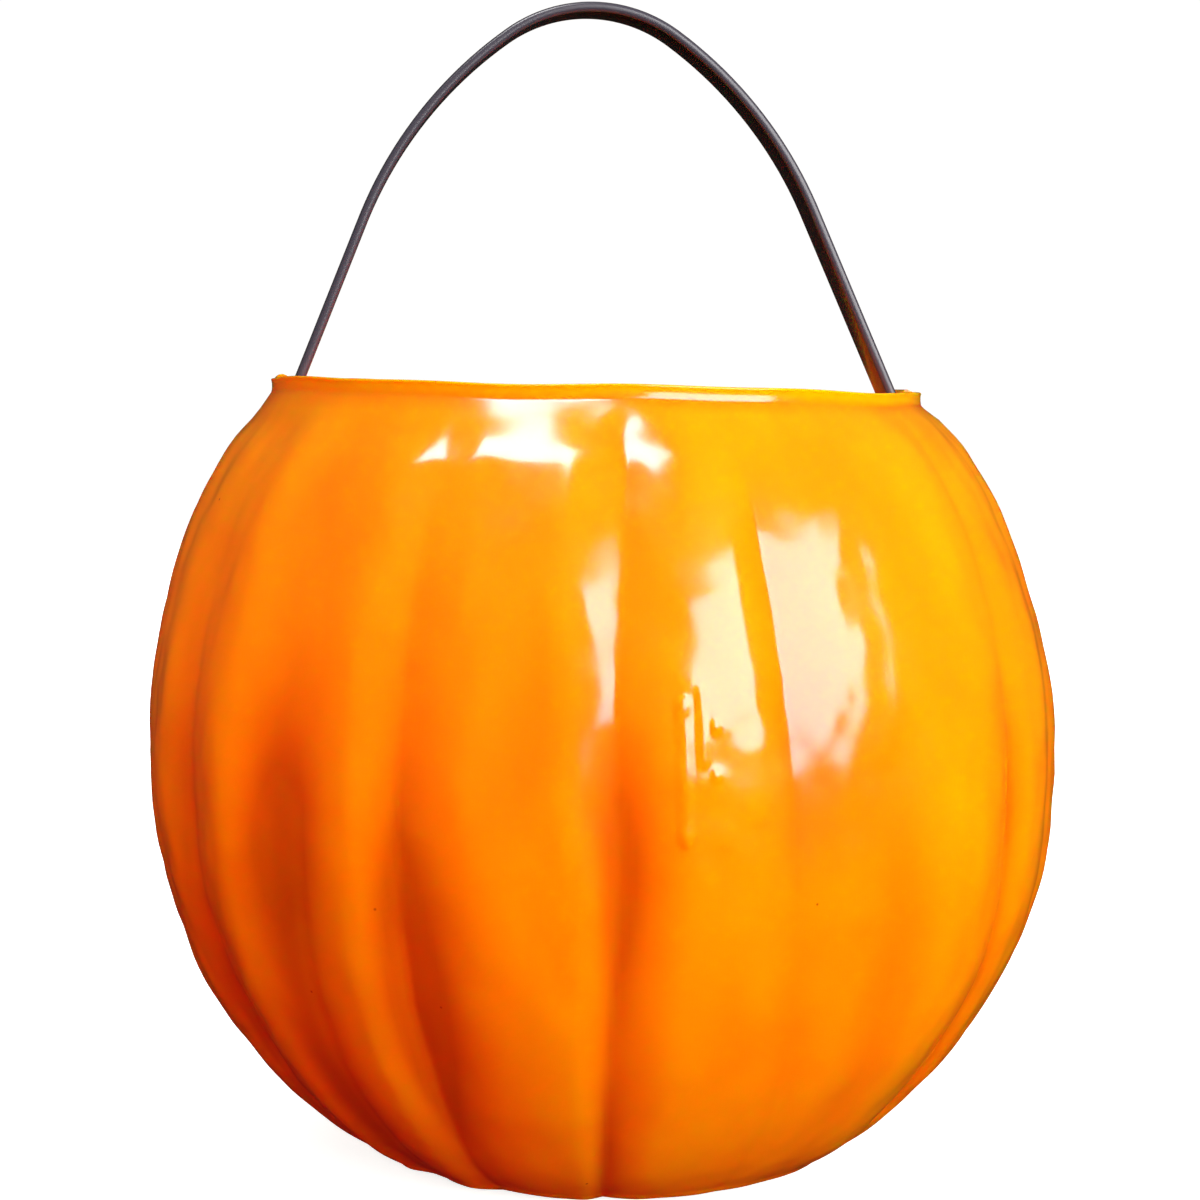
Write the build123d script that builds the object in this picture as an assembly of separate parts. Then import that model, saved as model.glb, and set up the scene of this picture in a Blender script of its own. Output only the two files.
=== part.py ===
from build123d import *
import os
from math import asin, cos, degrees, radians, sin, sqrt, tan

# Pumpkin candy pail: a lobed, blow-moulded bucket with a strap handle that swings in two ears.
# Millimetres, +Z up, the base ring stands on Z = 0 and the handle's hinge lies along X.

# Pail shell
body_radius = 110.0  # over the crests of the lobes, at the widest level
belly_height = 96.0  # level of that widest ring
base_radius = 54.5  # over the crests, where the pail stands
wall = 1.6
lobe_count = 24
groove_depth = 2.8  # at the belly
groove_fade_up = 5  # power of radius / body_radius with which grooves fade towards the neck
groove_fade_down = 1  # the same towards the base
levels_below = 5  # loft sections below and above the belly
levels_above = 5

# Neck and lip
rim_height = 184.5
neck_radius = 77.9  # outside
neck_height = 3.6
neck_ledge = 1.7  # how far the shoulder's crests stand out past the neck
lip_flare = 0.7  # how far the lip stands out past the neck
lip_height = 1.6
lip_round = 0.7  # rounding of the lip's two top edges

# Base, pushed up inside the ring that the pail stands on
base_thickness = 2.0
ring_width = 10.5  # of the ring
recess_depth = 4.0
recess_draft = 5.0  # the recess is narrower by this much at its top
recess_round = 2.0

# Ears, folded down inside the neck
ear_width = 16.0
ear_gap = 0.9  # between the neck's inside and the ear
ear_fold_rise = 0.8  # the fold stands this much above the rim
pivot_drop = 11.0  # from the rim down to the hinge axis

# Strap handle, an arch that keeps its form when its span changes
strap_width = 13.0
strap_thickness = 2.4
strap_edge = 0.5  # rounding of its long edges
rise_percent = 124  # from the rim to the middle of the strap at its crown, of half the span
crown_percent = 48  # the crown's radius, of half the span
shoulder_percent = 139  # the shoulders' radius, of half the span
limb_lean = 23  # degrees from upright
knee_radius = 10.0  # bend between limb and end tab

# Snap buttons on the strap's ends
pin_diameter = 6.0
pin_clearance = 0.1  # radial, in the ear's hole
head_diameter = 9.0
head_thickness = 2.0
side_clearance = 0.3  # strap to ear, and button head to ear

# Worked out from the sizes above
neck_bore = neck_radius - wall
neck_bottom = rim_height - neck_height
upper_rise = (neck_bottom - belly_height) / sqrt(1 - ((neck_radius + neck_ledge) / body_radius) ** 2)
lower_drop = belly_height / sqrt(1 - (base_radius / body_radius) ** 2)
recess_radius = base_radius - ring_width
pivot_height = rim_height - pivot_drop
ear_outer = neck_bore - ear_gap
ear_inner = ear_outer - wall
tab_x = ear_inner - side_clearance - strap_thickness / 2
handle_rise = tab_x * rise_percent / 100
crown_radius = tab_x * crown_percent / 100
shoulder_radius = tab_x * shoulder_percent / 100


def lobed_face(radius, depth, height):
    """Scalloped outline: arcs from groove to groove, each with its crest at the given radius."""
    pitch = 360 / lobe_count
    floor = radius - depth
    arcs = [
        ThreePointArc(
            Vector(floor, 0).rotate(Axis.Z, i * pitch),
            Vector(radius, 0).rotate(Axis.Z, (i + 0.5) * pitch),
            Vector(floor, 0).rotate(Axis.Z, (i + 1) * pitch),
        )
        for i in range(lobe_count)
    ]
    return Pos(0, 0, height) * make_face(arcs)


def lobed_body(inset, bottom, top):
    """Solid pumpkin between two levels, half ellipses above and below the belly, less the inset."""
    radius = body_radius - inset
    rise = upper_rise - inset
    drop = lower_drop - inset
    lowest = degrees(asin((belly_height - bottom) / drop))
    highest = degrees(asin((top - belly_height) / rise))
    sections = []
    for i in range(levels_below):
        turn = radians(lowest * (1 - i / levels_below))
        depth = groove_depth * cos(turn) ** groove_fade_down
        sections.append(lobed_face(radius * cos(turn), depth, belly_height - drop * sin(turn)))
    for i in range(levels_above + 1):
        turn = radians(highest * i / levels_above)
        depth = groove_depth * cos(turn) ** groove_fade_up
        sections.append(lobed_face(radius * cos(turn), depth, belly_height + rise * sin(turn)))
    return loft(sections)


def frustum(bottom_radius, top_radius, bottom, top):
    """Upright cone slice between two levels."""
    middle = (bottom + top) / 2
    return Pos(0, 0, middle) * Cone(bottom_radius, top_radius, top - bottom)


def ear(side):
    """Fold over the rim and tongue hanging inside it, with the hole for a snap button."""
    fold_middle = (ear_inner + neck_radius) / 2
    fold_radius = (neck_radius - ear_inner) / 2
    fold_height = rim_height + ear_fold_rise - fold_radius
    outer = Pos(fold_middle, fold_height) * Circle(fold_radius)
    outer += Pos(fold_middle, (fold_height + pivot_height) / 2) * Rectangle(
        2 * fold_radius, fold_height - pivot_height
    )
    inner = Pos(fold_middle, fold_height) * Circle(fold_radius - wall)
    inner += Pos(fold_middle, (fold_height + pivot_height) / 2) * Rectangle(
        2 * (fold_radius - wall), fold_height - pivot_height
    )
    leg_below = Pos(neck_radius, (neck_bottom + pivot_height) / 2) * Rectangle(
        2 * fold_radius, neck_bottom - pivot_height
    )
    hook = extrude(Plane.XZ * (outer - inner - leg_below), amount=ear_width / 2, both=True)
    hook &= Cylinder(neck_radius, 3 * rim_height)
    across = Plane.YZ.offset(ear_inner)
    tongue = extrude(across * Pos(0, pivot_height) * Circle(ear_width / 2), amount=wall)
    hole = extrude(across * Pos(0, pivot_height) * Circle(pin_diameter / 2 + pin_clearance), amount=wall)
    piece = hook + tongue - hole
    return piece if side > 0 else piece.mirror(Plane.YZ)


def neck_ring():
    """Neck and rolled lip, turned from one profile with a rounded top."""
    lip_radius = neck_radius + lip_flare
    root = neck_bottom - wall
    corners = [
        (neck_bore, root),
        (neck_bore, rim_height),
        (lip_radius, rim_height),
        (lip_radius, rim_height - lip_height),
        (neck_radius, rim_height - lip_height - lip_flare),
        (neck_radius, root),
    ]
    profile = make_face(Polyline(*corners, close=True))
    profile = fillet(profile.vertices().group_by(Axis.Y)[-1], lip_round)
    return revolve(Plane.XZ * profile, Axis.Z)


def base_floor(shell):
    """The shell with its floor pushed up inside the ring that it stands on."""
    top_radius = recess_radius - recess_draft
    shell += frustum(recess_radius + wall, top_radius + wall, 0, recess_depth + base_thickness)
    recess = frustum(recess_radius, top_radius, 0, recess_depth)
    return shell - fillet(recess.edges().sort_by(Axis.Z)[-1], recess_round)


def pail_body():
    """Shell with lobes, neck, lip, ears and pushed-up base."""
    bore = Pos(0, 0, neck_bottom) * Cylinder(neck_bore, 4 * wall)
    shell = lobed_body(0, 0, neck_bottom) - lobed_body(wall, base_thickness, neck_bottom - wall) - bore
    return base_floor(shell) + neck_ring() + ear(1) + ear(-1)


def strap_path():
    """Centre line in the XZ plane, from one hinge pin up over the crown to the other."""
    lean = radians(limb_lean)
    crown_centre = handle_rise - crown_radius
    inward = tab_x * cos(lean) - crown_centre * sin(lean)
    crown_turn = asin((shoulder_radius - inward) / (shoulder_radius - crown_radius)) - lean
    arm = shoulder_radius - crown_radius
    tangent = (tab_x + arm * sin(crown_turn)) * sin(lean) + (crown_centre - arm * cos(crown_turn)) * cos(lean)
    knee = knee_radius * tan(lean / 2)
    shoulder_turn = 90 - limb_lean - degrees(crown_turn)
    tab = Line((-tab_x, pivot_height), (-tab_x, rim_height - knee))
    knee_up = JernArc(tab @ 1, tab % 1, knee_radius, -limb_lean)
    limb_up = Line(knee_up @ 1, knee_up @ 1 + (knee_up % 1) * (tangent - knee))
    shoulder_up = JernArc(limb_up @ 1, limb_up % 1, shoulder_radius, -shoulder_turn)
    crown = JernArc(shoulder_up @ 1, shoulder_up % 1, crown_radius, -2 * degrees(crown_turn))
    shoulder_down = JernArc(crown @ 1, crown % 1, shoulder_radius, -shoulder_turn)
    limb_down = Line(shoulder_down @ 1, shoulder_down @ 1 + (shoulder_down % 1) * (tangent - knee))
    knee_down = JernArc(limb_down @ 1, limb_down % 1, knee_radius, -limb_lean)
    tab_down = Line(knee_down @ 1, knee_down @ 1 + (knee_down % 1) * (rim_height - knee - pivot_height))
    runs = [tab, knee_up, limb_up, shoulder_up, crown, shoulder_down, limb_down, knee_down, tab_down]
    return Plane.XZ * Wire([edge for run in runs for edge in run.edges()])


def snap_end(side):
    """Round end of the strap, with the button that turns in the ear."""
    face_x = tab_x + strap_thickness / 2
    across = Plane.YZ.offset(face_x) * Pos(0, pivot_height)
    pin_length = wall + 2 * side_clearance
    eye = fillet(extrude(across * Circle(strap_width / 2), amount=-strap_thickness).edges(), strap_edge)
    pin = extrude(across * Circle(pin_diameter / 2), amount=pin_length)
    seat = Plane.YZ.offset(face_x + pin_length) * Pos(0, pivot_height)
    head = extrude(seat * Circle(head_diameter / 2), amount=head_thickness)
    head = chamfer(head.edges().sort_by(Axis.X)[-1], head_thickness / 2)
    piece = eye + pin + head
    return piece if side > 0 else piece.mirror(Plane.YZ)


def handle_strap():
    """Flat strap bent into an arch, with a snap button on the outside of each end."""
    start = Plane.XY * Pos(-tab_x, 0, pivot_height)
    section = RectangleRounded(strap_thickness, strap_width, strap_edge)
    arch = sweep(start * section, path=strap_path())
    return arch + snap_end(1) + snap_end(-1)


os.makedirs("parts", exist_ok=True)
for name, piece in {"pail_body": pail_body(), "handle_strap": handle_strap()}.items():
    export_step(piece, f"parts/{name}.step")
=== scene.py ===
import logging
import math
import random
from dataclasses import dataclass
from enum import Enum, IntEnum

import bpy
import numpy as np
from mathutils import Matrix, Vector, noise


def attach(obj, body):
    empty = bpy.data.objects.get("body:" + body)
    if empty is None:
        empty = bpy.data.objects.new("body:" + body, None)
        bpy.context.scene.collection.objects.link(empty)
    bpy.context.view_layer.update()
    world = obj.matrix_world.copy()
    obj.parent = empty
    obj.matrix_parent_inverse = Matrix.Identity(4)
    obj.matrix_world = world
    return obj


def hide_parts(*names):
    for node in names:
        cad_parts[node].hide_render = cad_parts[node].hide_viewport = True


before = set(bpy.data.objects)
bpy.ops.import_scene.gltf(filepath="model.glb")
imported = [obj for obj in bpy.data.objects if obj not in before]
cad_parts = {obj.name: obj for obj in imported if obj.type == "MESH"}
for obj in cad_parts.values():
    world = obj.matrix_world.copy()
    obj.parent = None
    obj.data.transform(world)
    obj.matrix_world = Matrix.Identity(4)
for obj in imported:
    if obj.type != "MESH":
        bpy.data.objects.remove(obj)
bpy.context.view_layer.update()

# Short names for types
Tree = bpy.types.NodeTree
Node = bpy.types.Node
Socket = bpy.types.NodeSocket
Piece = bpy.types.Object
Material = bpy.types.Material
Pair = tuple[float, float]
Triple = tuple[float, float, float]

MM = 0.001
log = logging.getLogger("pumpkin_pail")

# Sizes that several pieces share, in millimetres
WALL = 1.6
RIM_HEIGHT = 184.5
PIVOT_HEIGHT = 173.5

# The pail is a little crooked: its lip is trimmed off level and its body leans towards -X
TRIM_SLOPE = math.tan(math.radians(1.41))
SKEW = math.tan(math.radians(0.7))
SKEW_LEVEL = 110.0

# Round tips stop just short of the pole, so that their last face keeps some width
TIP_SHARE = 0.97
TIP_STEPS = 8

# Range that noise fills, apart from rare peaks
NOISE_SPAN = (0.3, 0.7)

# Floor and surroundings, which look white to the camera
PALE = "#F4F3F1"
PALE_GLOW = 1.15


class Slot(Enum):
    """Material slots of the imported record."""

    SHELL = "orange_shell"
    STRAP = "black_strap"


class Body(Enum):
    """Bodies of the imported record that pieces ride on."""

    PAIL = "pail"
    HANDLE = "handle"


class MixSocket(IntEnum):
    """Numbers of the sockets that a mix of two colours uses."""

    SHARE = 0
    UNDER = 6
    OVER = 7
    RESULT = 2


def linear(hex_code: str) -> tuple[float, float, float, float]:
    """Turn an sRGB hex colour into a linear one.

    Args:
        hex_code: Colour such as "#F27400".

    Returns:
        Linear red, green, blue and an alpha of 1.
    """
    parts = [int(hex_code[i : i + 2], 16) / 255 for i in (1, 3, 5)]
    shades = [c / 12.92 if c <= 0.04045 else ((c + 0.055) / 1.055) ** 2.4 for c in parts]
    return (*shades, 1.0)


def add_node(tree: Tree, kind: str, settings: dict | None = None, links: dict | None = None) -> Node:
    """Add one shader node.

    Args:
        tree: Node tree that gets the node.
        kind: Blender's type name of the node.
        settings: Values by property name or, where there is no such property, by input socket name.
        links: Output sockets by the name or number of the input socket that they feed.

    Returns:
        The new node.
    """
    node = tree.nodes.new(kind)
    for name, value in (settings or {}).items():
        if hasattr(node, name):
            setattr(node, name, value)
        else:
            node.inputs[name].default_value = value
    for name, socket in (links or {}).items():
        tree.links.new(socket, node.inputs[name])
    return node


def grain(tree: Tree, place: Socket, size_mm: float, detail: float) -> Socket:
    """Add noise of one size.

    Args:
        tree: Node tree that gets the node.
        place: Coordinates.
        size_mm: Size of its clouds.
        detail: Number of finer layers.

    Returns:
        The noise's socket.
    """
    look = {"Scale": 1 / (size_mm * MM), "Detail": detail}
    return add_node(tree, "ShaderNodeTexNoise", look, {"Vector": place}).outputs["Fac"]


def remap(tree: Tree, value: Socket, source: Pair, target: Pair = (0.0, 1.0)) -> Socket:
    """Carry one range of a value over to another, clamped at both ends.

    Args:
        tree: Node tree that gets the node.
        value: Socket that is carried over.
        source: The two ends of its range.
        target: What they become.

    Returns:
        The new value's socket.
    """
    ends = {"From Min": source[0], "From Max": source[1], "To Min": target[0], "To Max": target[1]}
    return add_node(tree, "ShaderNodeMapRange", ends, {"Value": value}).outputs[0]


def blend(tree: Tree, share: Socket, under: Socket | str, over: str) -> Socket:
    """Mix two colours.

    Args:
        tree: Node tree that gets the node.
        share: How much of the second colour shows.
        under: First colour, as a socket or a hex code.
        over: Second colour, as a hex code.

    Returns:
        The colour socket.
    """
    mix = add_node(tree, "ShaderNodeMix", {"data_type": "RGBA"}, {MixSocket.SHARE: share})
    if isinstance(under, str):
        mix.inputs[MixSocket.UNDER].default_value = linear(under)
    else:
        tree.links.new(under, mix.inputs[MixSocket.UNDER])
    mix.inputs[MixSocket.OVER].default_value = linear(over)
    return mix.outputs[MixSocket.RESULT]


def bump(tree: Tree, height: Socket, relief: Pair, under: Socket | None = None) -> Socket:
    """Add a fine relief.

    Args:
        tree: Node tree that gets the node.
        height: Socket that says where it is high.
        relief: Strength, and depth in millimetres.
        under: Normal of the relief below it.

    Returns:
        The normal socket.
    """
    links = {"Height": height}
    if under is not None:
        links["Normal"] = under
    look = {"Strength": relief[0], "Distance": relief[1] * MM}
    return add_node(tree, "ShaderNodeBump", look, links).outputs["Normal"]


def new_material(name: str) -> tuple[Material, Node]:
    """Make a material with Blender's standard shader.

    Args:
        name: Name that says what it is made of.

    Returns:
        The material and its shader.
    """
    made = bpy.data.materials.new(name)
    made.use_nodes = True
    return made, made.node_tree.nodes["Principled BSDF"]


def set_inputs(shader: Node, values: dict[str, object]) -> None:
    """Set the sockets of a shader by name."""
    for name, value in values.items():
        shader.inputs[name].default_value = value


def switch(mode: str) -> None:
    """Switch the active piece to edit mode or object mode."""
    bpy.ops.object.mode_set(mode=mode)


def deselect() -> None:
    """Leave no object selected and no piece in edit mode."""
    if bpy.context.object and bpy.context.object.mode != "OBJECT":
        switch("OBJECT")
    bpy.ops.object.select_all(action="DESELECT")


def activate(piece: Piece) -> None:
    """Make one piece the only selected and active object."""
    deselect()
    piece.select_set(True)
    bpy.context.view_layer.objects.active = piece


def select_none(kind: str) -> None:
    """Select nothing in the active mesh, ready to pick elements of one kind."""
    switch("EDIT")
    bpy.ops.mesh.select_mode(type=kind)
    bpy.ops.mesh.select_all(action="DESELECT")
    switch("OBJECT")


def extrude(move: Vector | Triple) -> None:
    """Extrude what is selected by a move in metres."""
    bpy.ops.mesh.extrude_region_move(TRANSFORM_OT_translate={"value": move})


def coordinates(piece: Piece) -> np.ndarray:
    """Read a mesh's vertices as rows of x, y and z in metres."""
    points = np.empty(len(piece.data.vertices) * 3)
    piece.data.vertices.foreach_get("co", points)
    return points.reshape(-1, 3)


def set_coordinates(piece: Piece, points: np.ndarray) -> None:
    """Write a mesh's vertices back from rows of x, y and z in metres."""
    piece.data.vertices.foreach_set("co", points.ravel())
    piece.data.update()


def smoothstep(value: np.ndarray, low: float, high: float) -> np.ndarray:
    """Ease from 0 at low to 1 at high."""
    share = np.clip((value - low) / (high - low), 0.0, 1.0)
    return share * share * (3 - 2 * share)


def close_up(piece: Piece) -> None:
    """Merge a mesh's doubles and turn its faces outwards."""
    activate(piece)
    switch("EDIT")
    bpy.ops.mesh.select_all(action="SELECT")
    bpy.ops.mesh.remove_doubles(threshold=0.002 * MM)
    bpy.ops.mesh.normals_make_consistent(inside=False)
    switch("OBJECT")


def seat(piece: Piece, body: Body, material: Material) -> None:
    """Give a finished piece its material and its body."""
    piece.data.materials.clear()
    piece.data.materials.append(material)
    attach(piece, body.value)
    log.info("%s: %d vertices on %s", piece.name, len(piece.data.vertices), body.value)


@dataclass(frozen=True)
class ShellFinish:
    """Blow-moulded polyethylene, dyed through.

    It gives the eye a waxy gloss over a faintly uneven skin, a red glow where light has gone through
    the wall and a few dark specks of pigment. Its colour also carries painted shade, darker in the
    grooves and in the crease under the collar, and painted light, a paler lip that stands in for the
    light shining through the thin lip.
    """

    colour: str = "#FF9A00"
    deep: str = "#FA8C00"
    # Painted shade in the grooves and in the crease under the collar
    hollow: str = "#AE5C00"
    # Painted light: the paler lip stands in for light shining through the thin lip
    lip: str = "#FFAE00"
    speck: str = "#7A2E00"
    gleam: str = "#FFE3F8"
    ior: float = 1.51
    shine: float = 0.9
    gloss: Pair = (0.1, 0.18)
    haze_mm: float = 9.0
    glow_mm: float = 10.0
    glow_colour: Triple = (1.0, 0.08, 0.02)
    peel_mm: float = 1.6
    peel_relief: Pair = (0.15, 0.05)
    drag_mm: float = 1.1
    drag_relief: Pair = (0.1, 0.03)
    drag_squeeze: Triple = (1.0, 1.0, 0.05)
    mottle_mm: float = 22.0
    mottle_squeeze: Triple = (1.0, 1.0, 0.6)
    speck_cell_mm: float = 17.0
    speck_edge: Pair = (0.012, 0.024)
    speck_share: float = 0.8

    def material(self) -> Material:
        """Build the node material."""
        made, shader = new_material("polyethylene_blow_moulded_orange")
        tree = made.node_tree
        place = add_node(tree, "ShaderNodeTexCoord").outputs["Object"]
        haze = grain(tree, place, self.haze_mm, 4.0)
        tree.links.new(self.tint(tree, place), shader.inputs["Base Color"])
        tree.links.new(remap(tree, haze, NOISE_SPAN, self.gloss), shader.inputs["Roughness"])
        tree.links.new(self.relief(tree, place), shader.inputs["Normal"])
        look = {
            "IOR": self.ior,
            "Specular IOR Level": self.shine,
            "Specular Tint": linear(self.gleam),
            "Subsurface Weight": 1.0,
            "Subsurface Radius": self.glow_colour,
            "Subsurface Scale": self.glow_mm * MM,
        }
        set_inputs(shader, look)
        return made

    def tint(self, tree: Tree, place: Socket) -> Socket:
        """Colour: slow mottle, painted shade in the grooves and the collar crease, painted light on the
        lip, and pigment specks.

        Args:
            tree: Node tree of the material.
            place: Object coordinates.

        Returns:
            The colour socket.
        """
        tall = add_node(tree, "ShaderNodeMapping", {"Scale": self.mottle_squeeze}, {"Vector": place})
        mottle = remap(tree, grain(tree, tall.outputs[0], self.mottle_mm, 2.0), NOISE_SPAN)
        colour = blend(tree, mottle, self.deep, self.colour)
        # The groove share paints shade into the grooves and the crease; the thin share paints light onto
        # the lip
        for name, over in (("groove", self.hollow), ("thin", self.lip)):
            share = add_node(tree, "ShaderNodeAttribute", {"attribute_name": name}).outputs["Fac"]
            colour = blend(tree, share, colour, over)
        size = {"Scale": 1 / (self.speck_cell_mm * MM)}
        cells = add_node(tree, "ShaderNodeTexVoronoi", size, {"Vector": place})
        dots = remap(tree, cells.outputs["Distance"], self.speck_edge, (self.speck_share, 0.0))
        return blend(tree, dots, colour, self.speck)

    def relief(self, tree: Tree, place: Socket) -> Socket:
        """Fine orange peel over the upright drag lines of the parison.

        Args:
            tree: Node tree of the material.
            place: Object coordinates.

        Returns:
            The normal socket.
        """
        upright = add_node(tree, "ShaderNodeMapping", {"Scale": self.drag_squeeze}, {"Vector": place})
        drag = grain(tree, upright.outputs[0], self.drag_mm, 1.0)
        lines = bump(tree, drag, self.drag_relief)
        return bump(tree, grain(tree, place, self.peel_mm, 2.0), self.peel_relief, lines)


@dataclass(frozen=True)
class StrapFinish:
    """Satin moulded polyethylene, charcoal.

    It gives the eye a soft, even sheen with a fine grain. Its long edges are paler: painted sheen that
    stands in for light on the rounded edges.
    """

    colour: str = "#242227"
    grained: str = "#2E2B32"
    # Painted sheen on the long edges
    painted_edge_sheen: str = "#3E3A43"
    roughness: float = 0.27
    ior: float = 1.5
    shine: float = 0.6
    grain_mm: float = 0.5
    grain_relief: Pair = (0.2, 0.03)
    half_width_mm: float = 6.5
    sheen_band_mm: float = 0.9

    def material(self) -> Material:
        """Build the node material."""
        made, shader = new_material("polyethylene_moulded_charcoal")
        tree = made.node_tree
        place = add_node(tree, "ShaderNodeTexCoord").outputs["Object"]
        fine = grain(tree, place, self.grain_mm, 3.0)
        across = add_node(tree, "ShaderNodeSeparateXYZ", links={0: place}).outputs["Y"]
        aside = add_node(tree, "ShaderNodeMath", {"operation": "ABSOLUTE"}, {0: across})
        # Painted sheen: paler colour along both long edges of the strap
        band = ((self.half_width_mm - self.sheen_band_mm) * MM, self.half_width_mm * MM)
        painted_sheen = remap(tree, aside.outputs[0], band)
        tint = blend(tree, painted_sheen, blend(tree, fine, self.colour, self.grained), self.painted_edge_sheen)
        tree.links.new(tint, shader.inputs["Base Color"])
        tree.links.new(bump(tree, fine, self.grain_relief), shader.inputs["Normal"])
        look = {"Roughness": self.roughness, "IOR": self.ior, "Specular IOR Level": self.shine}
        set_inputs(shader, look)
        return made


@dataclass(frozen=True)
class FloorFinish:
    """Matte coated paper, pale: no gloss and no pattern that shows.

    It glows a little, and less within the pail's reach, where the faint shadow lies.
    """

    colour: str = PALE
    roughness: float = 0.9
    near_glow: float = 0.93
    glow_band_mm: Pair = (100.0, 500.0)

    def material(self) -> Material:
        """Build the node material."""
        made, shader = new_material("paper_matte_pale")
        tree = made.node_tree
        place = add_node(tree, "ShaderNodeTexCoord").outputs["Object"]
        away = add_node(tree, "ShaderNodeVectorMath", {"operation": "LENGTH"}, {0: place})
        band = (self.glow_band_mm[0] * MM, self.glow_band_mm[1] * MM)
        glow = remap(tree, away.outputs["Value"], band, (self.near_glow, PALE_GLOW))
        tree.links.new(glow, shader.inputs["Emission Strength"])
        colour = linear(self.colour)
        set_inputs(shader, {"Base Color": colour, "Roughness": self.roughness, "Emission Color": colour})
        return made


@dataclass(frozen=True)
class Groove:
    """One groove between two lobes.

    Attributes:
        angle: Degrees from the front at the belly, growing towards +X.
        low: Share of the full depth below the belly.
        high: Share of the full depth above the belly.
        softness: 0 for a crease, 1 for a rounded hollow.
        left: Degrees from its floor to the crest of the lobe towards -X.
        right: The same towards +X.
        drift: Degrees that it moves towards +X in 100 mm of height.
        line: Depth of the fine crease along its floor, in millimetres.
        pinch: Share by which its -X side is narrower below the belly.
    """

    angle: float
    low: float
    high: float
    softness: float
    left: float = 7.5
    right: float = 7.5
    drift: float = 0.0
    line: float = 0.0
    pinch: float = 0.0


@dataclass(frozen=True)
class Bead:
    """Slim bead or pip that a seam of the mould left on the wall.

    Attributes:
        angle: Degrees from the front.
        low: Level of its lower end in millimetres.
        high: Level of its upper end.
        half_width: Half of its width.
        tall: How far it stands out.
    """

    angle: float
    low: float
    high: float
    half_width: float
    tall: float


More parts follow.
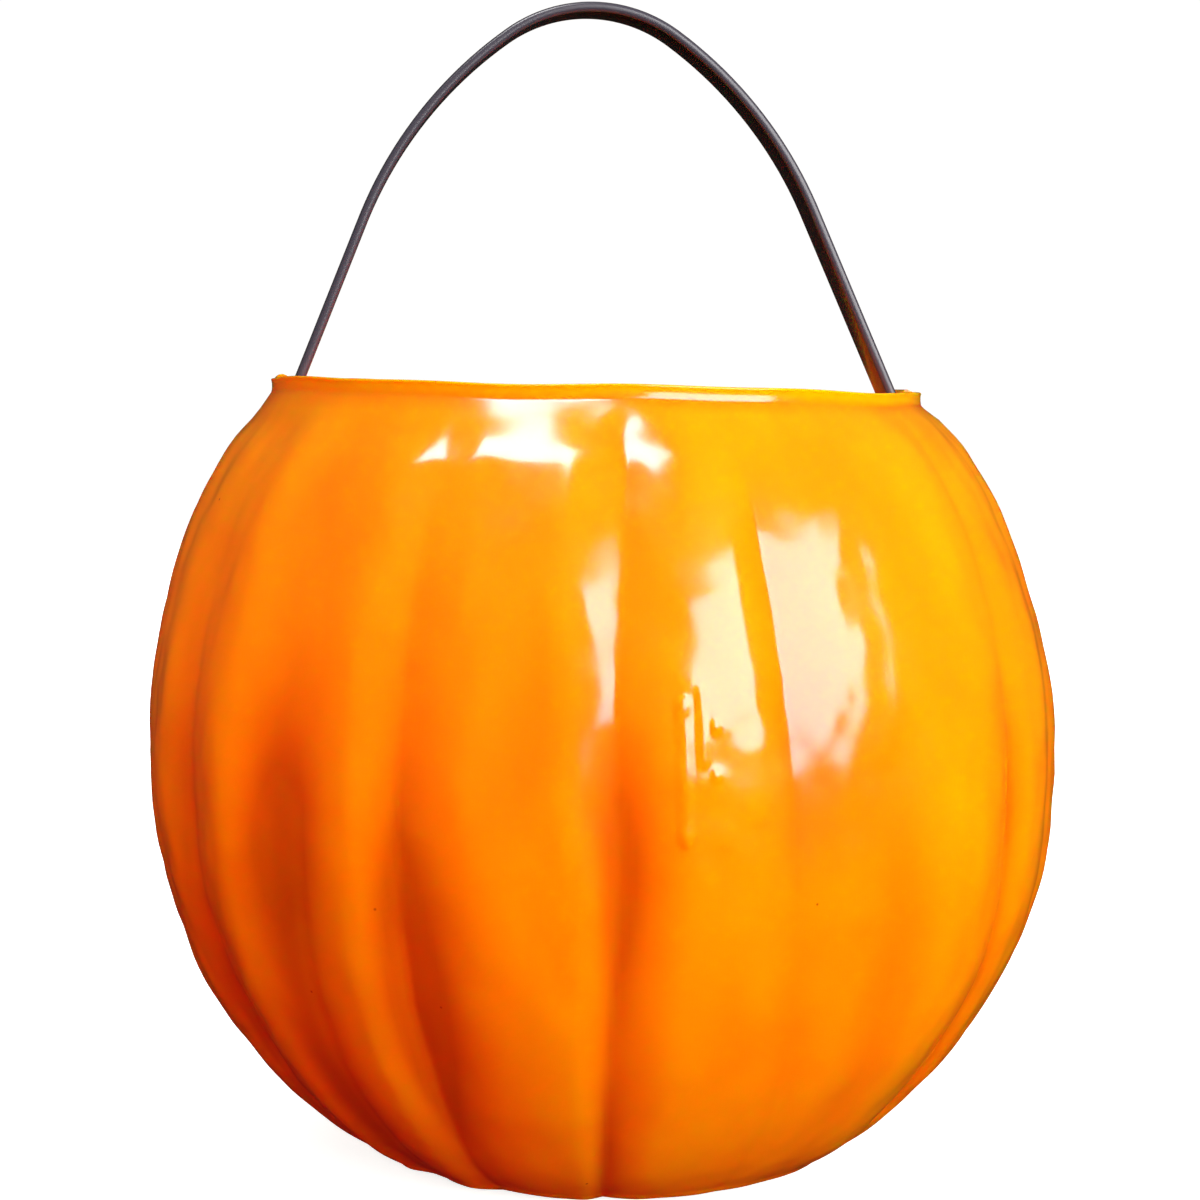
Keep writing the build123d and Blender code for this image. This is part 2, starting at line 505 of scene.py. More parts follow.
@dataclass
class PailShell:
    """Lobed shell with base, neck and lip, all sizes in millimetres."""

    body_radius: float = 110.0
    belly_height: float = 96.0
    upper_rise: float = 123.0
    upper_power: float = 2.04
    lower_drop: float = 107.8
    lower_power: float = 2.15
    foot_swell: float = 2.3
    foot_height: float = 14.0
    shoulder_tuck: float = 1.8
    tuck_from: float = 168.0
    outside_span: Pair = (2.4, 180.3)
    inside_span: Pair = (4.6, 177.6)
    wall: float = WALL
    steps_round: int = 480
    steps_outside: int = 84
    steps_inside: int = 36
    groove_depth: float = 2.8
    groove_pitch: float = 15.0
    fade_up: float = 3.0
    fade_down: float = 0.8
    belly_band: Pair = (76.0, 124.0)
    line_reach: float = 1.3
    seed: int = 7
    lump_height: float = 0.9
    lump_size: float = 44.0
    dent_height: float = 0.75
    dent_size: float = 17.0
    ripple_height: float = 0.27
    ripple_size: float = 6.0
    calm_angle: float = 14.0
    calm_width: float = 24.0
    calm_share: float = 0.6
    parting_height: float = 0.2
    parting_reach: float = 0.5
    trim_wave: float = 0.25
    trim_band: Pair = (175.0, 182.0)
    foot_band: Pair = (45.0, 58.0)
    neck_band: Pair = (173.0, 180.5)
    # Painted shade: in the grooves, less above the belly, and in the crease under the collar
    groove_shade_band: Pair = (85.0, 138.0)
    groove_shade_fade: float = 0.75
    crease_level: float = 181.2
    crease_reach: float = 2.2
    crease_painted_shade: float = 0.4
    # Painted light on the lip, standing in for light shining through the thin lip
    lip_band: Pair = (181.0, 183.5)
    lip_painted_light: float = 0.8
    front_grooves: tuple[Groove, ...] = (
        Groove(-104.0, 0.7, 0.5, 0.4),
        Groove(-87.0, 0.2, 0.0, 0.4, 8.5, 8.5),
        Groove(-77.0, 0.0, 0.15, 0.9, 7.0, 6.0),
        Groove(-64.0, 0.85, 0.75, 0.8, 10.0, 9.0, 0.0, 0.3),
        Groove(-47.5, 1.15, 1.05, 1.0, 9.0, 14.0, 2.0),
        Groove(-43.5, 0.08, 0.0, 0.1, 4.0, 6.0, 2.0, 0.25),
        Groove(-29.7, 1.6, 0.85, 0.3, 7.0, 15.0, 1.7, 0.1),
        Groove(-16.0, 0.15, 0.6, 1.0, 8.0, 6.0),
        Groove(-4.9, 1.25, 1.1, 0.2, 9.0, 9.0, 2.8, 0.0, 0.5),
        Groove(15.0, 0.3, 1.35, 0.1, 7.0, 22.0, -2.8),
        Groove(28.5, 0.4, 0.12, 0.8, 8.0, 9.5, -3.0),
        Groove(50.5, 0.7, 0.6, 0.1, 9.5, 5.0, 0.0, 0.35),
        Groove(65.0, 0.3, 0.25, 0.3, 5.5, 8.0, 0.0, 0.2),
        Groove(80.0, 0.8, 0.8, 0.4, 9.0, 7.5),
    )
    scar_length: float = 58.0
    scar_width: float = 2.0
    scar_flat: float = 0.3
    scar_height: float = 0.6
    scar_below: float = 5.0
    marks_angle: Pair = (-1.0, 8.0)
    marks_height: Pair = (88.0, 128.0)
    mend_angle: float = 12.0
    mend_level: float = 108.0
    mend_reach: float = 22.0
    mend_depth: float = 0.3
    beads: tuple[Bead, ...] = (
        Bead(2.1, 93.5, 120.5, 2.3, 0.42),
        Bead(2.1, 92.8, 94.2, 2.1, 0.2),
        Bead(2.0, 119.6, 121.0, 2.1, 0.2),
        Bead(4.2, 109.0, 123.0, 1.7, 0.24),
        Bead(5.6, 115.7, 116.3, 1.7, 0.35),
        Bead(5.5, 105.7, 106.3, 1.7, 0.35),
    )

    def side_radius(self, height: np.ndarray) -> np.ndarray:
        """Radius of the plain outer side at each level between the base and the neck."""
        above = height > self.belly_height
        power = np.where(above, self.upper_power, self.lower_power)
        reach = np.where(above, self.upper_rise, self.lower_drop)
        rise = np.clip(np.abs(height - self.belly_height) / reach, 0, 1)
        radius = self.body_radius * (1 - rise**power) ** (1 / power)
        return radius + self.foot_swell * np.exp(-((height / self.foot_height) ** 2))

    def wall_run(self, inset: float, low: float, high: float, steps: int) -> list[Pair]:
        """Follow the pumpkin's side from one level up to another.

        Args:
            inset: How far the run lies inside the outer surface.
            low: Lowest level.
            high: Highest level.
            steps: Number of stations.

        Returns:
            Radius and height of each station.
        """
        belly = self.belly_height
        first = -self.station_turn(belly - low, self.lower_drop - inset, self.lower_power)
        last = self.station_turn(high - belly, self.upper_rise - inset, self.upper_power)
        run = []
        for i in range(steps):
            turn = first + (last - first) * i / (steps - 1)
            power = self.lower_power if turn < 0 else self.upper_power
            reach = (self.lower_drop if turn < 0 else self.upper_rise) - inset
            rise = reach * abs(math.sin(turn)) ** (2 / power)
            radius = (self.body_radius - inset) * math.cos(turn) ** (2 / power)
            height = belly + math.copysign(rise, turn)
            radius += self.foot_swell * math.exp(-((height / self.foot_height) ** 2))
            radius -= self.shoulder_tuck * smoothstep(height, self.tuck_from, self.outside_span[1])
            run.append((radius, height))
        return run

    @staticmethod
    def station_turn(rise: float, reach: float, power: float) -> float:
        """Turn from the belly at which the side has risen or dropped this far."""
        return math.asin((rise / reach) ** (power / 2))

    def profile(self) -> list[Pair]:
        """Radius and height round the wall, from the base's middle out, up, over the lip and in."""
        base = [(0, 4.3), (1, 4.3), (2, 4.3), (3.5, 4.29), (5.5, 4.28), (8, 4.27), (12, 4.25), (20, 4.2)]
        base += [(28.5, 4.12), (29.5, 4.1), (36, 4.02), (37.5, 3.97), (38.6, 3.8)]
        base += [(39.6, 3.35), (41.5, 1.9), (43.0, 0.75), (43.8, 0.25), (44.8, 0.02), (46, 0), (48, 0)]
        base += [(51.0, 0.0), (54.5, 0.05), (57.0, 0.4), (58.8, 0.95), (60.5, 1.6)]
        outside = self.wall_run(0, *self.outside_span, self.steps_outside)
        neck = [(78.95, 180.75), (78.65, 181.1), (78.48, 181.4), (78.4, 181.7), (78.36, 182.1)]
        neck += [(78.32, 182.6), (78.32, 183.2), (78.38, 183.7)]
        neck += [(78.5, 184.1), (78.48, 184.3), (78.3, 184.45)]
        neck += [(78.0, 184.5), (77.2, 184.5), (76.8, 184.45), (76.45, 184.25), (76.32, 183.9)]
        neck += [(76.3, 183), (76.3, 181.5), (76.3, 180), (76.4, 179.4), (76.9, 178.8), (78.0, 178.3)]
        inside = self.wall_run(self.wall, *self.inside_span, self.steps_inside)[::-1]
        floor = [(57.2, 2.9), (54.5, 2.15), (51.0, 2.0), (48.4, 2.05), (46.9, 2.5), (45.9, 3.2)]
        floor += [(43.3, 5.1), (42.2, 5.75), (40.6, 6.0), (30, 6.1), (20, 6.2), (10, 6.27), (0, 6.3)]
        return base + outside + neck + inside + floor

    def turned(self) -> Piece:
        """Spin the closed wall profile round the pail's axis.

        Returns:
            The plain, lobeless shell.
        """
        stations = self.profile()
        deselect()
        bpy.ops.mesh.primitive_circle_add(vertices=len(stations), radius=self.body_radius * MM)
        shell = bpy.context.object
        shell.name = "pail_shell"
        points = np.array([(r, 0.0, z) for r, z in stations]) * MM
        set_coordinates(shell, points)
        select_none("EDGE")
        # The edge along the axis only closes the outline
        for edge in shell.data.edges:
            ends = [shell.data.vertices[i].co.x for i in edge.vertices]
            edge.select = max(ends) < 0.1 * MM
        switch("EDIT")
        bpy.ops.mesh.delete(type="EDGE")
        bpy.ops.mesh.select_all(action="SELECT")
        bpy.ops.mesh.spin(steps=self.steps_round, angle=2 * math.pi, center=(0, 0, 0), axis=(0, 0, 1))
        switch("OBJECT")
        close_up(shell)
        return shell

    def refine(self, shell: Piece) -> None:
        """Divide the wall more finely where it carries the small moulding marks.

        Args:
            shell: The plain shell, changed in place.
        """
        activate(shell)
        select_none("FACE")
        faces = shell.data.polygons
        centres, normals = np.empty(len(faces) * 3), np.empty(len(faces) * 3)
        faces.foreach_get("center", centres)
        faces.foreach_get("normal", normals)
        x, y, height = centres.reshape(-1, 3).T / MM
        facing = normals.reshape(-1, 3)
        outward = facing[:, 0] * x + facing[:, 1] * y > 0
        angle = np.degrees(np.arctan2(x, -y))
        beside = (angle > self.marks_angle[0]) & (angle < self.marks_angle[1])
        level = (height > self.marks_height[0]) & (height < self.marks_height[1])
        faces.foreach_set("select", outward & beside & level)
        switch("EDIT")
        bpy.ops.mesh.subdivide(number_cuts=3)
        switch("OBJECT")

    def marked(self, angle: np.ndarray, height: np.ndarray) -> np.ndarray:
        """How far the moulding marks stand out.

        Args:
            angle: Degrees from the front.
            height: Level in millimetres.

        Returns:
            Height in millimetres, outwards.
        """
        raised = np.exp(-(((np.abs(angle) - 90) / self.parting_reach) ** 2)) * self.parting_height
        for bead in self.beads:
            aside = np.radians(angle - bead.angle) * self.body_radius
            beyond = np.maximum(np.maximum(bead.low - height, height - bead.high), 0)
            away = np.hypot(aside, beyond) / bead.half_width
            raised = raised + bead.tall * (1 - smoothstep(away, 0.1, 1.0))
        return raised

    def grooves(self) -> list[Groove]:
        """All grooves in order of angle, the unseen ones placed by a fixed seed."""
        dice = random.Random(self.seed)
        placed = list(self.front_grooves)
        angle = placed[-1].angle + self.groove_pitch
        while angle < 360 + placed[0].angle - self.groove_pitch / 2:
            swing = dice.uniform(-1.5, 1.5)
            low, high = dice.uniform(0.5, 1.0), dice.uniform(0.4, 0.9)
            softness, line = dice.uniform(0.2, 0.8), dice.choice((0.0, 0.2))
            placed.append(Groove(angle + swing, low, high, softness, line=line))
            angle += self.groove_pitch
        return placed

    def pressed(self, angle: np.ndarray, height: np.ndarray) -> np.ndarray:
        """Depth of the grooves, which wander a little and run out towards the neck and the base.

        Args:
            angle: Degrees from the front.
            height: Level in millimetres.

        Returns:
            Depth in millimetres, inwards.
        """
        reach = np.where(height > self.belly_height, self.upper_rise, self.lower_drop)
        rise = (height - self.belly_height) / reach
        slope = np.sqrt(np.clip(1 - rise**2, 0, 1))
        fade = slope ** np.where(rise > 0, self.fade_up, self.fade_down)
        upper = smoothstep(height, *self.belly_band)
        depth = np.zeros(len(angle))
        for i, groove in enumerate(self.grooves()):
            # Each groove has its own phase
            wander = 0.35 * np.sin(height / 26 + 2.3 * i) + 0.15 * np.sin(height / 12 + 4.1 * i)
            floor = groove.angle + groove.drift * (height - self.belly_height) / 100 + wander
            away = (angle - floor + 180) % 360 - 180
            left = groove.left * (1 - groove.pinch * (1 - upper))
            share = np.clip(np.abs(away) / np.where(away < 0, left, groove.right), 0, 1)
            crease = (1 - share) ** 2
            hollow = 0.5 + 0.5 * np.cos(np.pi * share)
            form = crease + (hollow - crease) * groove.softness
            strength = groove.low + (groove.high - groove.low) * upper
            strength *= 1 + 0.22 * np.sin(height / 13 + 1.7 * i)
            depth += strength * form * self.groove_depth
            depth += groove.line * (1 - upper) * np.clip(1 - np.abs(away) / self.line_reach, 0, 1)
        return depth * fade

    def waves(self, points: np.ndarray, angle: np.ndarray) -> np.ndarray:
        """Slow waves and small dents of a wall that cooled unevenly, calmest right of the front.

        Args:
            points: Places in millimetres.
            angle: Degrees from the front.

        Returns:
            Radial moves in millimetres.
        """
        lumps = Vector((1.0, 1.0, 0.6)) / self.lump_size
        dents = Vector((1.0, 1.0, 0.7)) / self.dent_size
        ripples = Vector((1.0, 1.0, 0.8)) / self.ripple_size
        calm = 1 - self.calm_share * np.exp(-(((angle - self.calm_angle) / self.calm_width) ** 2))
        moves = np.zeros(len(points))
        for i, point in enumerate(points):
            place = Vector(point)
            moves[i] = noise.noise(place * lumps) * self.lump_height
            moves[i] += noise.noise(place * dents) * self.dent_height * calm[i]
            moves[i] += noise.noise(place * ripples) * self.ripple_height
        return moves

    def lobed(self, shell: Piece) -> None:
        """Press the grooves and the unevenness into the shell and trim its lip a little off level.

        Args:
            shell: The plain shell, changed in place.
        """
        points = coordinates(shell) / MM
        height = points[:, 2].copy()
        radius = np.hypot(points[:, 0], points[:, 1])
        angle = np.degrees(np.arctan2(points[:, 0], -points[:, 1]))
        turn = np.radians(angle)
        on_wall = smoothstep(radius, *self.foot_band) * (1 - smoothstep(height, *self.neck_band))
        depth = self.pressed(angle, height) * on_wall
        uneven = (self.waves(points, angle) + self.marked(angle, height)) * on_wall
        moves = uneven - depth + self.mended(radius, angle, height) - radius
        points[:, :2] *= ((radius + moves) / np.maximum(radius, 1e-6))[:, None]
        slope = -TRIM_SLOPE * points[:, 0]
        wave = self.trim_wave * (np.sin(turn * 5 + 0.7) + 0.6 * np.sin(turn * 11 + 2.1))
        points[:, 2] += smoothstep(height, *self.trim_band) * (slope + wave)
        across = 1 - smoothstep(np.abs(points[:, 1]), self.scar_flat, self.scar_width / 2)
        scar = across * (radius < self.scar_length / 2)
        points[:, 2] -= scar * self.scar_height * (height < self.scar_below)
        points[:, 0] -= SKEW * (height - SKEW_LEVEL)
        set_coordinates(shell, points * MM)
        self.note_painted_shade_and_light(shell, height, depth)

    def mended(self, radius: np.ndarray, angle: np.ndarray, height: np.ndarray) -> np.ndarray:
        """Bring the corners that dividing has put on flat faces out onto the round side.

        Args:
            radius: Distance from the pail's axis.
            angle: Degrees from the front.
            height: Level in millimetres.

        Returns:
            The mended radius.
        """
        plain = self.side_radius(height)
        near = (np.abs(angle) < self.mend_angle) & (np.abs(height - self.mend_level) < self.mend_reach)
        return np.where(near & (np.abs(radius - plain) < self.mend_depth), plain, radius)

    def note_painted_shade_and_light(self, shell: Piece, height: np.ndarray, depth: np.ndarray) -> None:
        """Note for the finish where to paint shade, in the grooves and the crease under the collar, and
        where to paint light, on the thin lip.

        Args:
            shell: The shell, which gets the two attributes.
            height: Level of each vertex before the lip was trimmed.
            depth: Depth of the grooves there.
        """
        crease = np.clip(1 - np.abs(height - self.crease_level) / self.crease_reach, 0, 1)
        # Painted shade: deeper in the grooves, weaker above the belly, and along the crease under the
        # collar
        hollow = depth / self.groove_depth * (1 - self.groove_shade_fade * smoothstep(height, *self.groove_shade_band))
        shares = {
            "groove": np.clip(hollow + self.crease_painted_shade * crease, 0, 1),
            # Painted light: the lip grows paler towards its top
            "thin": smoothstep(height, *self.lip_band) * self.lip_painted_light,
        }
        for name, values in shares.items():
            shell.data.attributes.new(name, "FLOAT", "POINT").data.foreach_set("value", values)

    def build(self, material: Material) -> Piece:
        """Make the shell and put it on the pail.

        Args:
            material: Finish of the moulding.

        Returns:
            The finished shell.
        """
        shell = self.turned()
        self.refine(shell)
        self.lobed(shell)
        activate(shell)
        bpy.ops.object.shade_smooth()
        seat(shell, Body.PAIL, material)
        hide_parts("pail_body")
        return shell


@dataclass
class Ears:
    """Two tongues folded over the rim, with the holes for the snap buttons, sizes in millimetres."""

    width: float = 16.0
    wall: float = WALL
    neck_radius: float = 77.9
    inner_x: float = 73.8
    rim_height: float = RIM_HEIGHT
    fold_rise: float = 0.8
    pivot_height: float = PIVOT_HEIGHT
    hole_radius: float = 3.1
    root_height: float = 180.9
    edge: float = 0.3
    trim_band: Pair = (177.0, 183.5)

    def right(self) -> Piece:
        """Fold a flat tongue over the rim on the +X side.

        Returns:
            The ear, before it is bent to the neck.
        """
        fold_radius = (self.neck_radius - self.inner_x) / 2
        fold_height = self.rim_height + self.fold_rise - fold_radius
        leg_x = self.neck_radius - self.wall / 2
        deselect()
        bpy.ops.mesh.primitive_plane_add(size=1)
        ear = bpy.context.object
        ear.name = "ear_right"
        corners = np.array([(v.co.x * self.wall, v.co.y * self.width, 0) for v in ear.data.vertices])
        set_coordinates(ear, (corners + (leg_x, 0, self.root_height)) * MM)
        switch("EDIT")
        bpy.ops.mesh.select_all(action="SELECT")
        bpy.ops.mesh.subdivide(number_cuts=5)
        bpy.ops.mesh.select_all(action="SELECT")
        extrude((0, 0, (fold_height - self.root_height) * MM))
        centre = Vector((self.neck_radius - fold_radius, 0, fold_height))
        bpy.ops.mesh.spin(steps=12, angle=math.pi, center=centre * MM, axis=(0, 1, 0))
        extrude((0, 0, (self.pivot_height - fold_height) * MM))
        self.round_off()
        switch("OBJECT")
        close_up(ear)
        return ear

    def round_off(self) -> None:
        """Draw the selected end down into a half round."""
        radius = self.width / 2
        x = self.inner_x + self.wall / 2
        reach, half = 0.0, radius
        for i in range(1, TIP_STEPS + 1):
            turn = math.pi / 2 * i / TIP_STEPS * TIP_SHARE
            drop = radius * math.sin(turn)
            wide = radius * math.cos(turn)
            extrude((0, 0, (reach - drop) * MM))
            centre = Vector((x, 0, self.pivot_height - drop)) * MM
            bpy.ops.transform.resize(value=(1, wide / half, 1), center_override=centre)
            reach, half = drop, wide

    def pierced(self, ear: Piece) -> None:
        """Cut the button's hole and bend the fold to the round neck.

        Args:
            ear: The plain ear, changed in place.
        """
        deselect()
        bpy.ops.mesh.primitive_cylinder_add(
            vertices=48,
            radius=self.hole_radius * MM,
            depth=4 * self.wall * MM,
            location=((self.inner_x + self.wall / 2) * MM, 0, self.pivot_height * MM),
            rotation=(0, math.pi / 2, 0),
        )
        drill = bpy.context.object
        activate(ear)
        hole = ear.modifiers.new("hole", "BOOLEAN")
        hole.object = drill
        hole.operation = "DIFFERENCE"
        bpy.ops.object.modifier_apply(modifier=hole.name)
        bpy.data.objects.remove(drill)
        rounding = ear.modifiers.new("rounding", "BEVEL")
        rounding.width = self.edge * MM
        rounding.segments = 2
        rounding.limit_method = "ANGLE"
        rounding.angle_limit = math.radians(50)
        bpy.ops.object.modifier_apply(modifier=rounding.name)
        points = coordinates(ear) / MM
        share = smoothstep(points[:, 0], self.inner_x + self.wall, self.neck_radius - self.wall)
        bow = self.neck_radius - np.sqrt(self.neck_radius**2 - points[:, 1] ** 2)
        points[:, 0] -= share * bow
        set_coordinates(ear, points * MM)

    def build(self, material: Material) -> list[Piece]:
        """Make both ears and put them on the pail.

        Args:
            material: Finish of the moulding.

        Returns:
            The two ears.
        """
        right = self.right()
        self.pierced(right)
        activate(right)
        bpy.ops.object.shade_smooth_by_angle(angle=math.radians(40))
        left = right.copy()
        left.data = right.data.copy()
        left.name = "ear_left"
        bpy.context.collection.objects.link(left)
        set_coordinates(left, coordinates(left) * (-1, 1, 1))
        close_up(left)
        for ear in (right, left):
            points = coordinates(ear) / MM
            trimmed = smoothstep(points[:, 2], *self.trim_band)
            points[:, 2] -= TRIM_SLOPE * points[:, 0] * trimmed
            points[:, 0] -= SKEW * (points[:, 2] - SKEW_LEVEL)
            set_coordinates(ear, points * MM)
            seat(ear, Body.PAIL, material)
        return [right, left]


@dataclass
class StrapHandle:
    """Flat strap bent into an arch with a snap button at each end, sizes in millimetres."""

    width: float = 13.0
    thickness: float = 2.4
    edge: float = 0.9
    rim_height: float = RIM_HEIGHT
    pivot_height: float = PIVOT_HEIGHT
    tab_x: float = 72.3
    rise: float = 89.65
    crown_radius: float = 34.7
    shoulder_radius: float = 100.5
    lean: float = 23.0
    knee_radius: float = 4.0
    knee_drops: Pair = (0.0, 2.8)
    knee_steps: int = 8
    shoulder_steps: int = 20
    crown_steps: int = 32
    pin_radius: float = 3.0
    pin_length: float = 2.2
    head_radius: float = 4.5
    head_thickness: float = 2.0
    offset: float = 0.78
    sway: float = 0.8
    sway_band: Pair = (180.5, 196.5)

    def section(self) -> Piece:
        """Flat rounded section of the strap, lying across the start of the first tab."""
        deselect()
        bpy.ops.mesh.primitive_plane_add(size=1, location=(0, 0, 0))
        strap = bpy.context.object
        strap.name = "strap_handle"
        corners = np.array([(v.co.x * self.thickness, v.co.y * self.width, 0) for v in strap.data.vertices])
        corners += (-self.tab_x, 0, self.pivot_height)
        set_coordinates(strap, corners * MM)
        switch("EDIT")
        bpy.ops.mesh.select_all(action="SELECT")
        bpy.ops.mesh.bevel(offset=self.edge * MM, segments=3, affect="VERTICES")
        bpy.ops.mesh.select_all(action="SELECT")
        return strap

    def run(self, length: float, direction: float) -> None:
        """Extrude the selected end along a straight.

        Args:
            length: Length of the straight.
            direction: Degrees from upright, growing towards +X.
        """
        turn = math.radians(direction)
        extrude(Vector((math.sin(turn), 0, math.cos(turn))) * length * MM)

    def arch(self) -> Piece:
        """Carry the section over the arch, one straight or bend after another.

        Returns:
            The strap without its buttons.
        """
        lean = math.radians(self.lean)
        crown_centre = self.rise - self.crown_radius
        arm = self.shoulder_radius - self.crown_radius
        span = self.tab_x - sum(self.knee_drops) / 2 * math.tan(lean)
        inward = span * math.cos(lean) - crown_centre * math.sin(lean)
        crown_turn = math.asin((self.shoulder_radius - inward) / arm) - lean
        along = (span + arm * math.sin(crown_turn)) * math.sin(lean)
        along += (crown_centre - arm * math.cos(crown_turn)) * math.cos(lean)
        knee = self.knee_radius * math.tan(lean / 2)
        shoulder_turn = math.pi / 2 - lean - crown_turn
        bends = [
            (self.knee_radius, lean, self.knee_steps),
            (self.shoulder_radius, shoulder_turn, self.shoulder_steps),
            (self.crown_radius, 2 * crown_turn, self.crown_steps),
            (self.shoulder_radius, shoulder_turn, self.shoulder_steps),
            (self.knee_radius, lean, self.knee_steps),
        ]
        tabs = [self.rim_height - drop - knee - self.pivot_height for drop in self.knee_drops]
        limbs = [along - knee + drop / math.cos(lean) for drop in self.knee_drops]
        straights = [tabs[0], limbs[0], 0, 0, limbs[1]]
        strap = self.section()
        self.round_tip(-self.tab_x, rising=True)
        spot = Vector((-self.tab_x, 0, self.pivot_height))
        heading = 0.0
        for length, (radius, turn, steps) in zip(straights, bends):
            ahead = Vector((math.sin(heading), 0, math.cos(heading)))
            if length:
                self.run(length, math.degrees(heading))
                spot += ahead * length
            inward_side = Vector((math.cos(heading), 0, -math.sin(heading)))
            centre = spot + inward_side * radius
            bpy.ops.mesh.spin(steps=steps, angle=turn, center=centre * MM, axis=(0, -1, 0))
            heading += turn
            spot = centre - Vector((math.cos(heading), 0, -math.sin(heading))) * radius
        self.run(tabs[1], math.degrees(heading))
        self.round_tip(self.tab_x, rising=False)
        switch("OBJECT")
        return strap

    def round_tip(self, x: float, rising: bool) -> None:
        """Carry the selected end through the round tip of the strap.

        Args:
            x: Where the tab stands.
            rising: True from the tip up to the hinge, False from the hinge down to the tip.
        """
        radius = self.width / 2
        turns = [math.radians(90 * TIP_SHARE * i / TIP_STEPS) for i in range(TIP_STEPS + 1)]
        if rising:
            turns.reverse()
            tip = turns[0]
            centre = Vector((x, 0, self.pivot_height)) * MM
            bpy.ops.transform.resize(value=(1, math.cos(tip), 1), center_override=centre)
            bpy.ops.transform.translate(value=(0, 0, -radius * math.sin(tip) * MM))
        for before, after in zip(turns, turns[1:]):
            move = radius * (math.sin(before) - math.sin(after))
            extrude((0, 0, move * MM))
            centre = Vector((x, 0, self.pivot_height - radius * math.sin(after))) * MM
            narrower = math.cos(after) / math.cos(before)
            bpy.ops.transform.resize(value=(1, narrower, 1), center_override=centre)

    def button(self, side: int) -> Piece:
        """Snap button on the outside of one end: a pin that widens into a bevelled head.

        Args:
            side: 1 for the +X end and -1 for the -X end.

        Returns:
            The button.
        """
        sink = self.thickness / 2
        face_x = self.tab_x + self.thickness / 2
        length = self.pin_length + sink
        middle = face_x - sink + length / 2
        deselect()
        bpy.ops.mesh.primitive_cylinder_add(
            vertices=40,
            radius=self.pin_radius * MM,
            depth=length * MM,
            location=(side * middle * MM, 0, self.pivot_height * MM),
            rotation=(0, side * math.pi / 2, 0),
        )
        pin = bpy.context.object
        bpy.ops.object.transform_apply(location=True, rotation=True, scale=True)
        select_none("FACE")
        for face in pin.data.polygons:
            face.select = face.normal.x * side > 0.9
        switch("EDIT")
        seat_x = face_x + self.pin_length
        steps = [(0.0, self.head_radius), (self.head_thickness / 2, 0.0)]
        steps += [(self.head_thickness / 2, self.head_radius - self.head_thickness / 2)]
        radius = self.pin_radius
        for rise, wider in steps:
            extrude((side * rise * MM, 0, 0))
            seat_x += rise
            if wider:
                centre = Vector((side * seat_x, 0, self.pivot_height)) * MM
                bpy.ops.transform.resize(value=(1, wider / radius, wider / radius), center_override=centre)
                radius = wider
        switch("OBJECT")
        return pin

    def build(self, material: Material) -> Piece:
        """Make the strap and put it on the handle.

        Args:
            material: Finish of the strap.

        Returns:
            The finished strap.
        """
        strap = self.arch()
        buttons = [self.button(side) for side in (-1, 1)]
        close_up(strap)
        activate(strap)
        for button in buttons:
            button.select_set(True)
        bpy.ops.object.join()
        bpy.ops.object.shade_smooth_by_angle(angle=math.radians(35))
        points = coordinates(strap) / MM
        above = smoothstep(points[:, 2], *self.sway_band)
        points[:, 0] -= self.offset + self.sway * above
        set_coordinates(strap, points * MM)
        seat(strap, Body.HANDLE, material)
        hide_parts("handle_strap")
        return strap


@dataclass(frozen=True)
class Softbox:
    """Rectangular soft light that faces the pail.

    Attributes:
        name: Name of the light.
        azimuth: Degrees from the front, growing towards +X.
        elevation: Degrees above the horizon.
        away: Distance from the pail's middle in millimetres.
        size: Width and height in millimetres.
        watts: Power.
        mirrored: Whether glossy surfaces show the light.
    """

    name: str
    azimuth: float
    elevation: float
    away: float
    size: Pair
    watts: float
    mirrored: bool = False


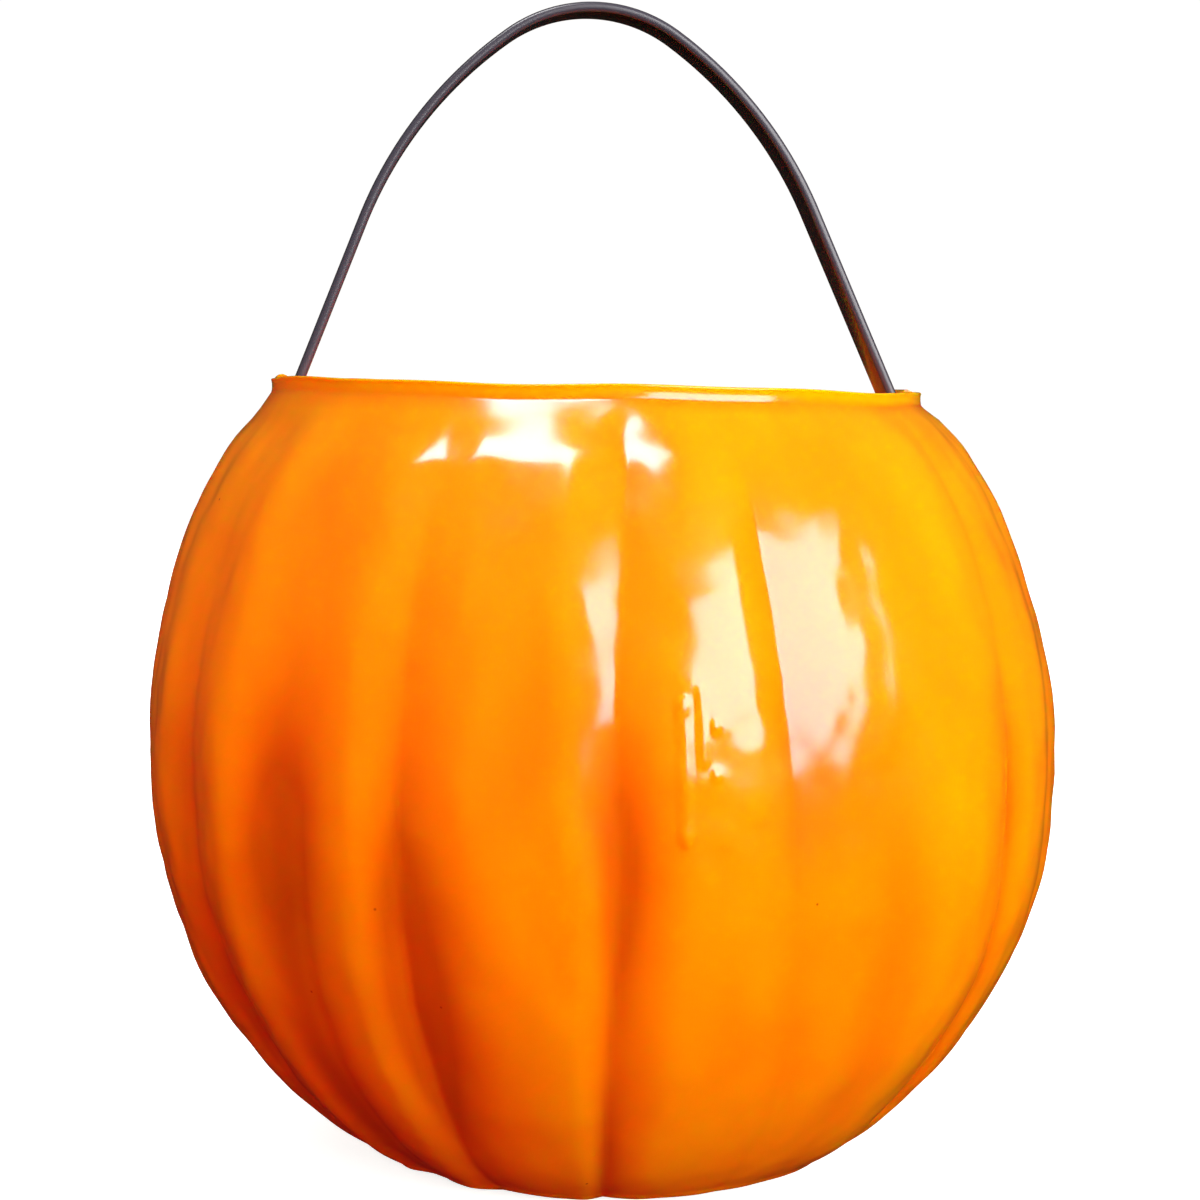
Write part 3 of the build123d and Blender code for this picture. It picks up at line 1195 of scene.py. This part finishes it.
@dataclass
class Studio:
    """Pale floor, soft lights and the camera, sizes in millimetres and degrees."""

    distance: float = 580.0
    azimuth: float = -6.8
    height: float = 184.5
    pitch: float = 5.18
    lens: float = 71.1
    sensor: float = 36.0
    view_reach: float = 50000.0
    floor_radius: float = 6000.0
    lights_aim: float = 110.0
    mouth_height: float = 180.0
    mouth_cone: float = 166.0
    mouth_blend: float = 0.25
    mouth_size: float = 30.0
    mouth_watts: float = 0.33
    sky_colour: str = "#FFF6EE"
    sky_glow: float = 0.06
    sky_dim: float = 0.1
    sky_band: Pair = (-0.3, 0.8)
    softboxes: tuple[Softbox, ...] = (
        Softbox("key_window", 32.3, 19.8, 1200, (945, 690), 15, mirrored=True),
        Softbox("top_box", -34, 66, 1000, (460, 280), 5.6, mirrored=True),
        Softbox("side_panel", 65, 30, 1800, (1500, 1500), 18.5),
        Softbox("left_fill", -72, 52, 1800, (1500, 1500), 4.3),
        Softbox("low_fill", 20, 5, 1800, (1500, 300), 14),
        Softbox("left_edge", -108, 12, 1800, (1500, 1500), 7),
        Softbox("back_fill", 180, 38, 1800, (1500, 1500), 17),
    )

    def camera(self) -> None:
        """Set up the camera at the photograph's viewing angle."""
        turn = math.radians(self.azimuth)
        tilt = math.radians(self.pitch)
        place = Vector((math.sin(turn) * self.distance, -math.cos(turn) * self.distance, self.height))
        ahead = Vector((-math.sin(turn) * math.cos(tilt), math.cos(turn) * math.cos(tilt), -math.sin(tilt)))
        bpy.ops.object.camera_add()
        camera = bpy.context.object
        camera.name = "camera"
        camera.location = place * MM
        camera.rotation_euler = ahead.to_track_quat("-Z", "Y").to_matrix().to_4x4().to_euler()
        camera.data.lens = self.lens
        camera.data.sensor_width = self.sensor
        camera.data.clip_end = self.view_reach * MM
        bpy.context.scene.camera = camera

    def hang(self, box: Softbox) -> None:
        """Add one soft light.

        Args:
            box: What it is like and where it hangs.
        """
        turn = math.radians(box.azimuth)
        lift = math.radians(box.elevation)
        back = Vector((math.sin(turn) * math.cos(lift), -math.cos(turn) * math.cos(lift), math.sin(lift)))
        bpy.ops.object.light_add(type="AREA")
        light = bpy.context.object
        light.name = box.name
        light.data.shape = "RECTANGLE"
        light.data.size = box.size[0] * MM
        light.data.size_y = box.size[1] * MM
        light.data.energy = box.watts
        light.location = Vector((0, 0, self.lights_aim * MM)) + back * box.away * MM
        light.rotation_euler = (-back).to_track_quat("-Z", "Y").to_euler()
        light.visible_glossy = box.mirrored
        light.visible_camera = False

    def mouth_lamp(self) -> None:
        """Hang a weak, wide light in the mouth, facing down, that makes the thin wall glow from inside."""
        bpy.ops.object.light_add(type="SPOT", location=(0, 0, self.mouth_height * MM))
        light = bpy.context.object
        light.name = "mouth_spot"
        light.data.energy = self.mouth_watts
        light.data.spot_size = math.radians(self.mouth_cone)
        light.data.spot_blend = self.mouth_blend
        light.data.shadow_soft_size = self.mouth_size * MM
        light.visible_glossy = False
        light.visible_camera = False

    def world(self) -> None:
        """Surroundings that the camera sees as pale and that fill the shadows a little from above."""
        made = bpy.data.worlds.new("pale_room")
        made.use_nodes = True
        tree = made.node_tree
        tree.nodes.clear()
        seen = add_node(tree, "ShaderNodeBackground", {"Color": linear(PALE), "Strength": PALE_GLOW})
        place = add_node(tree, "ShaderNodeTexCoord").outputs["Generated"]
        height = add_node(tree, "ShaderNodeSeparateXYZ", links={0: place}).outputs["Z"]
        sky = remap(tree, height, self.sky_band, (self.sky_dim * self.sky_glow, self.sky_glow))
        lit = add_node(tree, "ShaderNodeBackground", {"Color": linear(self.sky_colour)}, {"Strength": sky})
        ray = add_node(tree, "ShaderNodeLightPath").outputs["Is Camera Ray"]
        mix = add_node(tree, "ShaderNodeMixShader", links={0: ray, 1: lit.outputs[0], 2: seen.outputs[0]})
        add_node(tree, "ShaderNodeOutputWorld", links={"Surface": mix.outputs[0]})
        bpy.context.scene.world = made

    def build(self, finish: FloorFinish) -> None:
        """Lay the floor, hang the lights and set the camera.

        Args:
            finish: Finish of the floor.
        """
        deselect()
        bpy.ops.mesh.primitive_circle_add(vertices=96, radius=self.floor_radius * MM, fill_type="NGON")
        floor = bpy.context.object
        floor.name = "floor"
        floor.data.materials.append(finish.material())
        floor.visible_diffuse = False
        floor.visible_glossy = False
        for box in self.softboxes:
            self.hang(box)
        self.mouth_lamp()
        self.world()
        self.camera()
        view = bpy.context.scene.view_settings
        view.view_transform = "Standard"
        view.look = "None"
        view.exposure = 0.0
        view.gamma = 1.0


def main() -> None:
    """Build every sub-assembly in order."""
    logging.basicConfig(level=logging.INFO, format="%(name)s %(message)s")
    shell_material = ShellFinish().material()
    PailShell().build(shell_material)
    Ears().build(shell_material)
    StrapHandle().build(StrapFinish().material())
    Studio().build(FloorFinish())


if __name__ == "__main__":
    main()
